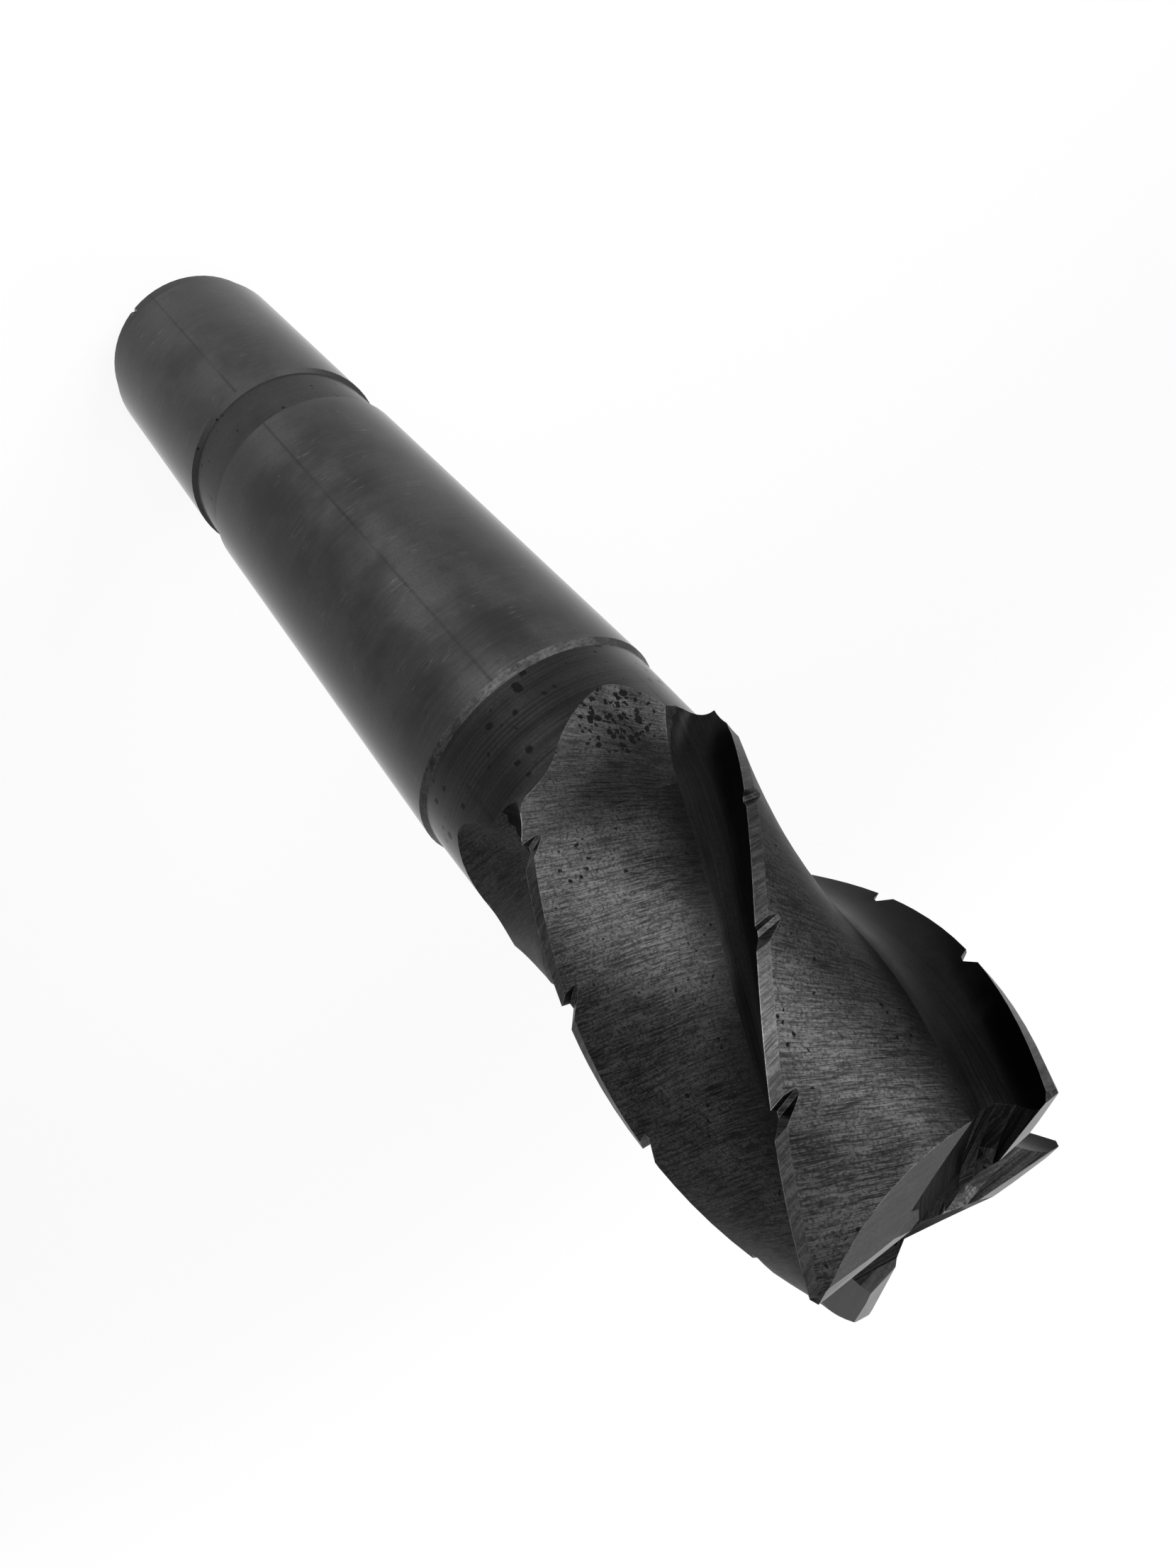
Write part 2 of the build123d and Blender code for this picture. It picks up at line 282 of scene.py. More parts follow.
@dataclass(frozen=True)
class RustPits(Effect):
    """Small dark rust pits, in stray clusters or gathered round one centre. Lengths are in mm."""

    name: str = "rust_pits"
    inputs: tuple = (("Place", VECTOR), ("Spacing", FLOAT), ("Cover", FLOAT), ("Gathered", FLOAT))
    centre: Triple = (11.0, 15.5, 151.0)
    spread: float = 9.0
    full_share: float = 0.4
    cover_outside: float = 0.1
    raggedness: float = 0.7
    cluster_range: Span = (0.42, 0.6)
    pick_range: Span = (0.2, 1.0)
    smallest: float = 0.3
    rim: float = 0.12

    def wire(self, graph: Graph, given: Sockets) -> dict:
        """Adds rounded cells cut off by a cluster mask. See Effect.wire."""
        place, gathered = given["Place"], given["Gathered"]
        ragged = graph.node("ShaderNodeTexNoise", {"Vector": place, "Scale": 2.2, "Detail": 3.0})
        bend = {0: ragged.outputs["Color"], 1: (self.raggedness,) * 3, 2: place}
        bent = graph.vector("MULTIPLY_ADD", bend)
        shrink = graph.math("DIVIDE", 1.0, given["Spacing"])
        shrunk = graph.vector("SCALE", {0: bent, "Scale": shrink})
        pattern = {"Vector": shrunk, "Scale": 1.0, "Randomness": 1.0}
        cells = graph.node("ShaderNodeTexVoronoi", pattern).outputs
        pick = graph.node("ShaderNodeSeparateColor", {0: cells["Color"]}).outputs[0]
        cluster = graph.ramp(graph.noise(place, scale=0.11, detail=2.0), *self.cluster_range)
        away = graph.vector("DISTANCE", {0: place, 1: self.centre}, "Value")
        full = self.spread * self.full_share
        near = graph.ramp(away, full, self.spread, 1.0, self.cover_outside)
        stray = graph.product(cluster, graph.math("SUBTRACT", 1.0, gathered))
        reach = graph.math("ADD", stray, graph.product(near, gathered))
        reach = graph.product(reach, given["Cover"])
        size = graph.product(reach, graph.ramp(pick, *self.pick_range, self.smallest, 1.0))
        gap = graph.math("SUBTRACT", size, cells["Distance"])
        return {"Mask": graph.ramp(gap, 0.0, self.rim)}


@dataclass(frozen=True)
class Scratches(Effect):
    """Thin stray scratches.

    Each direction is its turn in radians, and its noise's scale across and along the scratch.
    """

    name: str = "scratches"
    inputs: tuple = (("Lay", VECTOR), ("Cover", FLOAT))
    directions: tuple = ((0.35, 1.1, 0.07), (-0.9, 0.9, 0.05))
    half_width: float = 0.012
    patch_range: Span = (0.52, 0.66)

    def wire(self, graph: Graph, given: Sockets) -> dict:
        """Adds thin ridges of noise in patches. See Effect.wire."""
        lay = given["Lay"]
        found = None
        for turn, across, along in self.directions:
            stretch = {"Vector": lay, "Rotation": (0.0, 0.0, turn), "Scale": (across, along, 1.0)}
            turned = graph.node("ShaderNodeMapping", stretch).outputs[0]
            wave = graph.math("SUBTRACT", graph.noise(turned, scale=1.0, detail=1.0), NOISE_MIDDLE)
            thin = graph.ramp(graph.math("ABSOLUTE", wave), 0.0, self.half_width, 1.0, 0.0)
            found = thin if found is None else graph.math("MAXIMUM", found, thin)
        patchy = graph.ramp(graph.noise(lay, scale=0.16, detail=2.0), *self.patch_range)
        return {"Mask": graph.product(found, patchy, given["Cover"])}


@dataclass(frozen=True)
class PaintedReflectionGap(Effect):
    """Painted reflection: a thin dark line down the shank, where the lamp's reflection has a gap.
    The third lay coordinate is the turn round the axis.
    """

    name: str = "painted_reflection_gap"
    inputs: tuple = (("Lay", VECTOR), ("Cover", FLOAT))
    turn: float = 0.2389
    half_width: float = 0.0035
    patch_range: Span = (0.3, 0.55)
    faintest: float = 0.4

    def wire(self, graph: Graph, given: Sockets) -> dict:
        """Measures the turn from the painted dark line. See Effect.wire."""
        lay = given["Lay"]
        turn = graph.node("ShaderNodeSeparateXYZ", {0: lay}).outputs[2]
        away = graph.math("ABSOLUTE", graph.math("SUBTRACT", turn, self.turn))
        line = graph.ramp(away, 0.0, self.half_width, 1.0, 0.0)
        patches = graph.noise(lay, scale=0.08, detail=3.0)
        patchy = graph.ramp(patches, *self.patch_range, self.faintest, 1.0)
        return {"Mask": graph.product(line, patchy, given["Cover"])}


@dataclass(frozen=True)
class WornEdgeGlint(Effect):
    """Mask of the sharp outer edges, where the black finish is rubbed away and a painted glint
    stands in for the light they catch.

    The radius is in metres. An edge is where the rounded normal leaves the face's own.
    """

    name: str = "worn_edge_glint"
    inputs: tuple = (("Place", VECTOR), ("Amount", FLOAT))
    radius: float = 0.00022
    match_range: Span = (0.99, 0.86)
    patch_range: Span = (0.3, 0.6)

    def wire(self, graph: Graph, given: Sockets) -> dict:
        """Compares the two normals. See Effect.wire."""
        rounded = graph.node("ShaderNodeBevel", {"Radius": self.radius}, samples=4).outputs[0]
        true = graph.node("ShaderNodeNewGeometry").outputs["Normal"]
        match = graph.vector("DOT_PRODUCT", {0: rounded, 1: true}, "Value")
        edge = graph.ramp(match, *self.match_range)
        patches = graph.noise(given["Place"], scale=0.7, detail=3.0)
        patchy = graph.ramp(patches, *self.patch_range)
        return {"Mask": graph.product(edge, patchy, given["Amount"])}


@dataclass(frozen=True)
class SteelRules:
    """What all the finishes share.

    A range is of the noise values that a ramp covers. A tone is a share of the finish's own dark
    or light value, and the pits' depth is a share of the marks' depth.
    """

    mark_range: Span = (0.4, 0.6)
    cloud_range: Span = (0.35, 0.65)
    speck_range: Span = (0.36, 0.56)
    # Shares behind the edge over which the painted shade towards the flute's bottom grows.
    flute_shade_range: Span = (0.5, 0.84)
    rough_range: Span = (0.3, 0.7)
    scratch_tone: float = 2.2
    # Tone of the painted dark line in the lamp's reflection down the shank.
    painted_gap_tone: float = 0.2
    # Brightness of the worn edges, which also paints the glint that they catch.
    edge_glint_tone: float = 3.0
    pit_tone: float = 0.5
    pit_cover: float = 0.85
    pit_depth: float = 1.2
    pit_roughness: float = 0.25
    spread_turn: float = 0.25
    oil_roughness: float = 0.18
    oil_ior: float = 1.15


RULES = SteelRules()


@dataclass
class Surface:
    """A material in the making: its coordinates, and the links that effects change in turn."""

    graph: Graph
    place: Socket
    lay: Socket
    colour: Socket | None = None
    height: Socket | None = None
    rough: Socket | None = None


@dataclass(frozen=True)
class SteelFinish:
    """One finish of the dark steel. Lengths are in mm, and dark and light are linear brightness.

    Marks, specks and the painted shade towards the flute's bottom are given as the share of the
    tone that they take. Grazing is the tint of what the steel reflects at a shallow angle.
    """

    region: Region
    dark: float
    light: float
    roughness: Span = (0.38, 0.5)
    mark_width: float = 0.3
    mark_length: float = 10.0
    mark_depth: float = 0.01
    waver: float = 0.1
    coarse_share: float = 0.5
    cloud_size: float = 14.0
    pits: float = 0.0
    pit_spacing: float = 1.3
    scratches: float = 0.2
    # Share of the worn edge, which is brightened as worn metal and as a painted glint.
    edge: float = 0.5
    anisotropy: float = 0.0
    # Painted shade: how much darker the tone gets towards the flute's bottom.
    painted_flute_shade: float = 0.0
    oil: float = 0.0
    speck: float = 0.5
    mark_tone: float = 0.6
    # Share of the painted dark line down the shank, where the lamp's reflection has a gap.
    painted_gap: float = 0.0
    gathered: float = 0.0
    grazing: float = 1.0

    def material(self) -> bpy.types.Material:
        """Returns the finish as a material."""
        material = bpy.data.materials.new(self.region.value)
        material.use_nodes = True
        material.node_tree.nodes.clear()
        graph = Graph(material.node_tree)
        place = graph.node("ShaderNodeTexCoord").outputs["Object"]
        place = graph.vector("SCALE", {0: place, "Scale": 1.0 / MM})
        lay = graph.node("ShaderNodeAttribute", attribute_name=LAY).outputs["Vector"]
        surface = Surface(graph, place, lay)
        self.add_steel(surface)
        self.add_wear(surface)
        if self.pits:
            self.add_pits(surface)
        self.add_metal(surface)
        return material

    def add_steel(self, surface: Surface) -> None:
        """Adds the tool marks and the tarnish, between the finish's dark and light tones.

        Args:
            surface: The material in the making.
        """
        graph, lay = surface.graph, surface.lay
        sizes = {"Width": self.mark_width, "Length": self.mark_length, "Waver": self.waver}
        marks = ToolMarks().place(graph, {"Lay": lay, **sizes})
        cloud = Tarnish().place(graph, {"Place": surface.place, "Size": self.cloud_size})
        fine = graph.product(marks["Fine"], 1.0 - self.coarse_share)
        grain = graph.math("ADD", fine, graph.product(marks["Coarse"], self.coarse_share))
        streaks = graph.ramp(grain, *RULES.mark_range, 0.0, self.mark_tone)
        clouds = graph.ramp(cloud["Cloud"], *RULES.cloud_range, 0.0, 1.0 - self.mark_tone)
        specks = graph.ramp(cloud["Speck"], *RULES.speck_range, 1.0 - self.speck, 1.0)
        tone = graph.math("MULTIPLY", graph.math("ADD", streaks, clouds), specks, clamp=True)
        # Painted shade: the tone darkens towards the flute's bottom, behind the edge.
        if self.painted_flute_shade:
            depth = graph.node("ShaderNodeSeparateXYZ", {0: lay}).outputs[2]
            deep = graph.ramp(depth, *RULES.flute_shade_range, 1.0, 1.0 - self.painted_flute_shade)
            tone = graph.product(tone, deep)
        surface.colour = graph.blend(tone, grey(self.dark), grey(self.light))
        surface.height = grain
        surface.rough = graph.ramp(cloud["Cloud"], *RULES.rough_range, *self.roughness)

    def add_wear(self, surface: Surface) -> None:
        """Adds the scratches, the painted dark line in the lamp's reflection and the worn edges,
        with their painted glint, that the finish has.

        Args:
            surface: The material in the making.
        """
        graph, lay = surface.graph, surface.lay
        if self.scratches:
            scratch = Scratches().place(graph, {"Lay": lay, "Cover": self.scratches})["Mask"]
            bright = grey(self.light * RULES.scratch_tone)
            surface.colour = graph.blend(scratch, surface.colour, bright)
            surface.height = graph.math("SUBTRACT", surface.height, scratch)
        # Paints a dark line down the shank as the gap in the reflected lamp light.
        if self.painted_gap:
            painted_gap = PaintedReflectionGap().place(graph, {"Lay": lay, "Cover": self.painted_gap})["Mask"]
            surface.colour = graph.blend(painted_gap, surface.colour, grey(self.dark * RULES.painted_gap_tone))
        # Worn edges, brightened also as a painted glint along them.
        if self.edge:
            edge = {"Place": surface.place, "Amount": self.edge}
            worn_glint = WornEdgeGlint().place(graph, edge)["Mask"]
            surface.colour = graph.blend(worn_glint, surface.colour, grey(self.light * RULES.edge_glint_tone))

    def add_pits(self, surface: Surface) -> None:
        """Adds the rust pits: dark, sunk and rough.

        Args:
            surface: The material in the making.
        """
        graph = surface.graph
        sizes = {"Spacing": self.pit_spacing, "Cover": self.pits, "Gathered": self.gathered}
        pit = RustPits().place(graph, {"Place": surface.place, **sizes})["Mask"]
        cover = graph.product(pit, RULES.pit_cover)
        surface.colour = graph.blend(cover, surface.colour, grey(self.dark * RULES.pit_tone))
        sunk = graph.product(pit, RULES.pit_depth)
        surface.height = graph.math("SUBTRACT", surface.height, sunk)
        rougher = graph.product(pit, RULES.pit_roughness)
        surface.rough = graph.math("ADD", surface.rough, rougher, clamp=True)

    def add_metal(self, surface: Surface) -> None:
        """Adds the metal under its film of oil, and the material's output.

        Args:
            surface: The material in the making.
        """
        graph = surface.graph
        relief = {"Strength": 1.0, "Distance": self.mark_depth * MM, "Height": surface.height}
        shader = graph.node(
            "ShaderNodeBsdfPrincipled",
            {
                "Base Color": surface.colour,
                "Metallic": 1.0,
                "Roughness": surface.rough,
                "Specular Tint": grey(self.grazing),
                "Anisotropic": self.anisotropy,
                "Anisotropic Rotation": RULES.spread_turn,
                "Coat Weight": self.oil,
                "Coat Roughness": RULES.oil_roughness,
                "Coat IOR": RULES.oil_ior,
                "Normal": graph.node("ShaderNodeBump", relief).outputs[0],
            },
        )
        if self.anisotropy:
            around = graph.node("ShaderNodeTangent", direction_type="RADIAL", axis="Z").outputs[0]
            graph.tree.links.new(around, shader.inputs["Tangent"])
        graph.node("ShaderNodeOutputMaterial", {"Surface": shader.outputs[0]})


FINISHES = (
    SteelFinish(
        Region.BAND, dark=0.02, light=0.04, mark_width=0.25, mark_length=30, anisotropy=0.75,
        cloud_size=8, oil=1.0, mark_tone=0.3, painted_gap=0.5,
    ),
    SteelFinish(
        Region.TAPER, dark=0.018, light=0.038, roughness=(0.46, 0.5), mark_width=0.2,
        mark_length=25, mark_depth=0.001, anisotropy=0.75, cloud_size=12, scratches=0.5,
        edge=0.1, oil=1.0, speck=0.35, mark_tone=0.2, painted_gap=0.45,
    ),
    SteelFinish(
        Region.RECESS, dark=0.022, light=0.038, roughness=(0.6, 0.7), mark_length=30, pits=0.4,
        edge=0.0, oil=0.6, mark_tone=0.2,
    ),
    SteelFinish(
        Region.COLLAR, dark=0.015, light=0.05, roughness=(0.4, 0.55), mark_width=0.15,
        mark_length=0.8, cloud_size=3, edge=0.2,
    ),
    SteelFinish(
        Region.NECK, dark=0.006, light=0.02, roughness=(0.4, 0.5), mark_width=0.32,
        mark_length=60, mark_depth=0.02, waver=0.02, anisotropy=0.5, pits=0.45,
        pit_spacing=2.2, edge=0.0, oil=0.7,
    ),
    SteelFinish(
        Region.BORE, dark=0.02, light=0.05, roughness=(0.45, 0.6), mark_width=0.2,
        mark_length=15, scratches=0.0,
    ),
    SteelFinish(
        Region.RUN_OUT, dark=0.007, light=0.038, roughness=(0.36, 0.48), mark_width=0.17,
        mark_length=2.4, mark_depth=0.012, pits=0.8, pit_spacing=0.9, speck=0.7,
        coarse_share=0.35, cloud_size=9, gathered=0.9, grazing=0.7,
    ),
    # The back is painted darker towards the flute's bottom, as painted shade.
    SteelFinish(
        Region.BACK, dark=0.006, light=0.046, roughness=(0.34, 0.46), mark_width=0.12,
        mark_length=1.6, mark_depth=0.016, waver=0.08, pits=0.3, painted_flute_shade=0.8, speck=0.75,
        mark_tone=0.72, coarse_share=0.42, cloud_size=9, grazing=0.6,
    ),
    # The flute's bottom: a smoother finish, whose dark tones are partly painted shade.
    SteelFinish(
        Region.VALLEY, dark=0.004, light=0.011, roughness=(0.3, 0.4), mark_width=0.4,
        mark_length=20, mark_depth=0.006, scratches=0.1, edge=0.2,
    ),
    SteelFinish(
        Region.LAND, dark=0.014, light=0.065, roughness=(0.35, 0.48), mark_width=0.2,
        mark_length=3, mark_depth=0.012,
    ),
    SteelFinish(
        Region.NOTCH, dark=0.008, light=0.05, roughness=(0.4, 0.55), mark_length=4,
        mark_depth=0.03,
    ),
    SteelFinish(
        Region.PRIMARY, dark=0.03, light=0.1, roughness=(0.3, 0.4), mark_width=0.2,
        mark_length=8, speck=0.3,
    ),
    SteelFinish(
        Region.SECONDARY, dark=0.03, light=0.055, roughness=(0.45, 0.55), mark_width=0.2,
        mark_length=8, mark_depth=0.003, grazing=0.8, mark_tone=0.3,
    ),
    SteelFinish(
        Region.GASH, dark=0.006, light=0.035, roughness=(0.4, 0.55), mark_width=0.35,
        mark_length=14, mark_depth=0.015, grazing=0.35, mark_tone=0.8,
    ),
)


@dataclass
class HelixSizes:
    """Sizes of the fluted head, in mm and degrees, as the CAD has them.

    Shares are of the way from one tooth's edge to the next. The radius and the outward values
    tell the lands and the undercuts from the rest, by the outward part of a face's normal.
    """

    tip: float = 228.3
    head_start: float = 155.7
    fluted_length: float = 72.6
    cutter_radius: float = 25.0
    helix_angle: float = 36.0
    first_tooth: float = 136.2
    tooth_count: int = 4
    rake_angle: float = 13.0
    run_out: float = 7.7
    valley_share: float = 0.8179
    undercut_share: float = 0.02
    undercut_outward: float = 0.7
    land_radius: float = 24.5
    land_outward: float = 0.95

    @property
    def turn_per_mm(self) -> float:
        """Turn of the teeth in degrees for each mm of height."""
        return math.degrees(math.tan(math.radians(self.helix_angle)) / self.cutter_radius)

    @property
    def tooth_step(self) -> float:
        """Angle from one tooth to the next."""
        return 360.0 / self.tooth_count

    def edge_angle(self, height: np.ndarray | float) -> np.ndarray | float:
        """Returns the angle of the first tooth's cutting edge at a height."""
        return self.first_tooth + (height - self.tip) * self.turn_per_mm

    def share_behind(self, height: np.ndarray, angle: np.ndarray) -> np.ndarray:
        """Returns the share of a tooth step that points lie behind an edge."""
        return (self.edge_angle(height) - angle) % self.tooth_step / self.tooth_step


@dataclass
class NotchSizes:
    """Sizes of the chip-breaker notches, in mm and degrees, as the CAD has them.

    The slack on each side finds the faces of a notch, and so does the largest share of a face's
    normal that runs along it.
    """

    pitch: float = 18.0
    first: float = 18.7
    depth: float = 1.75
    width: float = 2.9
    margin: float = 4.0
    fall_angle: float = 5.0
    length: float = 14.0
    overrun: float = 6.0
    root_slack: float = 0.05
    outer_slack: float = 1.0
    lower_slack: float = 0.3
    upper_slack: float = 0.8
    normal_along: float = 0.02

    def frames(self, helix: HelixSizes) -> list[Matrix]:
        """Places all the notches.

        Args:
            helix: The head that the notches are cut in.

        Returns:
            One matrix per notch, from the notch's own frame, where it runs along y, to the
            part's frame in mm.
        """
        lean = math.atan2(self.pitch, 2 * math.pi * helix.cutter_radius)
        outside = Matrix.Translation((helix.cutter_radius, 0, 0))
        root = Matrix.Translation((helix.cutter_radius - self.depth, 0, 0))
        leaning = outside @ Matrix.Rotation(lean, 4, "X") @ outside.inverted()
        fall = Matrix.Rotation(-math.radians(self.fall_angle), 4, "Z")
        own = leaning @ root @ fall @ root.inverted()
        found = []
        for tooth in range(helix.tooth_count):
            height = self.first + tooth * self.pitch / helix.tooth_count
            height -= self.pitch * int((height - self.margin) / self.pitch)
            while height < helix.fluted_length - self.margin - self.width:
                z = helix.head_start + height
                turn = math.radians(helix.edge_angle(z) + tooth * helix.tooth_step)
                turned = Matrix.Rotation(turn, 4, "Z")
                found.append(Matrix.Translation((0, 0, z)) @ turned @ own)
                height += self.pitch
        return found


@dataclass
class EndSizes:
    """Reliefs and gashes of the end teeth, in mm and degrees, as the CAD has them.

    A depth is below the tip. The up, match and tilt values are the upward part of a face's
    normal and its match with the rake face's or a relief's, and they tell the faces apart.
    """

    primary_angle: float = 5.0
    secondary_angle: float = 28.0
    relief_depth: float = 14.0
    relief_match: float = 0.9998
    primary_depth: float = 1.3
    primary_up: float = 0.99
    gash_depth: float = 9.0
    gash_radius: float = 24.6
    floor_up: float = 0.86
    floor_depth: float = 1.2
    wall_offset: float = -5.9
    wall_slack: float = 2.6
    wall_match: float = 0.97
    wall_tilt: float = 0.2
    root_match: float = 0.3
    root_up: float = 0.25
    root_depth: float = 2.0
    facing_up: float = 0.5


@dataclass
class ShankSizes:
    """Heights and radii of the shank, in mm, as the CAD has them.

    The last six values tell the faces of the neck and its fillet from the flutes.
    """

    band_top: float = 3.7
    recess: Span = (44.7, 56.8)
    collar: float = 136.0
    neck: float = 137.2
    neck_radius: float = 21.7
    fillet: float = 152.4
    bore_mouth: float = 14.25
    bore_depth: float = 60.0
    end_face: float = 0.05
    neck_slack: float = 0.02
    turned_radius: float = 21.55
    fillet_from: float = 21.6
    fillet_slack: float = 0.12
    fillet_outward: float = 0.02
    fillet_up: float = -0.03


@dataclass
class ThreadSizes:
    """Drawbar thread, in mm and degrees.

    The cutter's point lies beyond the major radius by a share of the pitch, and its base inside
    the crest radius by the overlap.
    """

    pitch: float = 2.5
    major_radius: float = 10.0
    crest_radius: float = 8.65
    point_share: float = 0.08
    overlap: float = 0.45
    flank_angle: float = 30.0
    start: float = 9.0
    turns: int = 16
    steps: int = 48


@dataclass
class DrawbarTap:
    """The thread as a helical cutter that is taken out of the drawbar hole."""

    sizes: ThreadSizes = field(default_factory=ThreadSizes)

    def build(self) -> bpy.types.Object:
        """Models the coil: a triangle turned by a Screw modifier, with its two ends filled.

        Returns:
            The coil as a closed mesh in metres.
        """
        size = self.sizes
        apex = size.major_radius + size.pitch * size.point_share
        deep = apex - size.crest_radius + size.overlap
        side = deep / math.cos(math.radians(size.flank_angle)) * MM
        reach = side / math.sqrt(3)
        bpy.ops.object.select_all(action="DESELECT")
        bpy.ops.mesh.primitive_circle_add(
            vertices=3,
            radius=reach,
            fill_type="NGON",
            location=(apex * MM - reach, 0, size.start * MM),
            rotation=(math.radians(90), 0, 0),
        )
        coil = bpy.context.object
        coil.name = "drawbar_tap"
        bpy.ops.object.transform_apply(location=True, rotation=True, scale=True)
        self.point_outwards(coil, apex)
        screw = coil.modifiers.new("thread", "SCREW")
        screw.axis = "Z"
        screw.angle = math.tau
        screw.screw_offset = size.pitch * MM
        screw.iterations = size.turns
        screw.steps = size.steps
        screw.render_steps = size.steps
        screw.use_merge_vertices = False
        bpy.ops.object.modifier_apply(modifier=screw.name)
        bpy.ops.object.mode_set(mode="EDIT")
        bpy.ops.mesh.select_all(action="SELECT")
        bpy.ops.mesh.remove_doubles(threshold=SLIVER)
        bpy.ops.mesh.fill_holes(sides=0)
        bpy.ops.mesh.select_all(action="SELECT")
        bpy.ops.mesh.normals_make_consistent(inside=False)
        bpy.ops.object.mode_set(mode="OBJECT")
        log.info("%s: %d faces", coil.name, len(coil.data.polygons))
        return coil

    def point_outwards(self, coil: bpy.types.Object, apex: float) -> None:
        """Turns the triangle in its own plane until one corner points away from the axis.

        Args:
            coil: The object that holds the triangle.
            apex: Radius that the corner reaches, in mm.
        """
        corners = coil.data.vertices
        centre = sum((v.co for v in corners), Vector()) / len(corners)
        reach = (corners[0].co - centre).length
        spare = apex * MM - reach
        for number, corner in enumerate(corners):
            angle = math.tau * number / len(corners)
            outward, up = reach * math.cos(angle), reach * math.sin(angle)
            corner.co = Vector((spare + outward, 0.0, centre.z + up))


class FaceTable:
    """Centres, normals and corners of a mesh's faces, in mm, with each face's region and tooth."""

    def __init__(self, mesh: bpy.types.Mesh) -> None:
        """Reads the mesh.

        Args:
            mesh: A mesh in metres.
        """
        count = len(mesh.polygons)
        centre = np.zeros(count * 3, np.float32)
        normal = np.zeros(count * 3, np.float32)
        mesh.polygons.foreach_get("center", centre)
        mesh.polygons.foreach_get("normal", normal)
        self.mesh = mesh
        self.centre = centre.reshape(-1, 3).astype(float) / MM
        self.normal = normal.reshape(-1, 3).astype(float)
        self.height = self.centre[:, 2]
        self.radius = np.hypot(self.centre[:, 0], self.centre[:, 1])
        self.angle = np.arctan2(self.centre[:, 1], self.centre[:, 0])
        self.region = np.full(count, Region.TAPER, dtype=object)
        self.tooth = np.zeros(count, int)
        totals = np.zeros(count, np.int32)
        mesh.polygons.foreach_get("loop_total", totals)
        self.owner = np.repeat(np.arange(count), totals)

    def corner_points(self) -> np.ndarray:
        """Returns the place of every face corner."""
        points = np.zeros(len(self.mesh.vertices) * 3, np.float32)
        self.mesh.vertices.foreach_get("co", points)
        corners = np.zeros(len(self.mesh.loops), np.int32)
        self.mesh.loops.foreach_get("vertex_index", corners)
        return (points.reshape(-1, 3).astype(float) / MM)[corners]


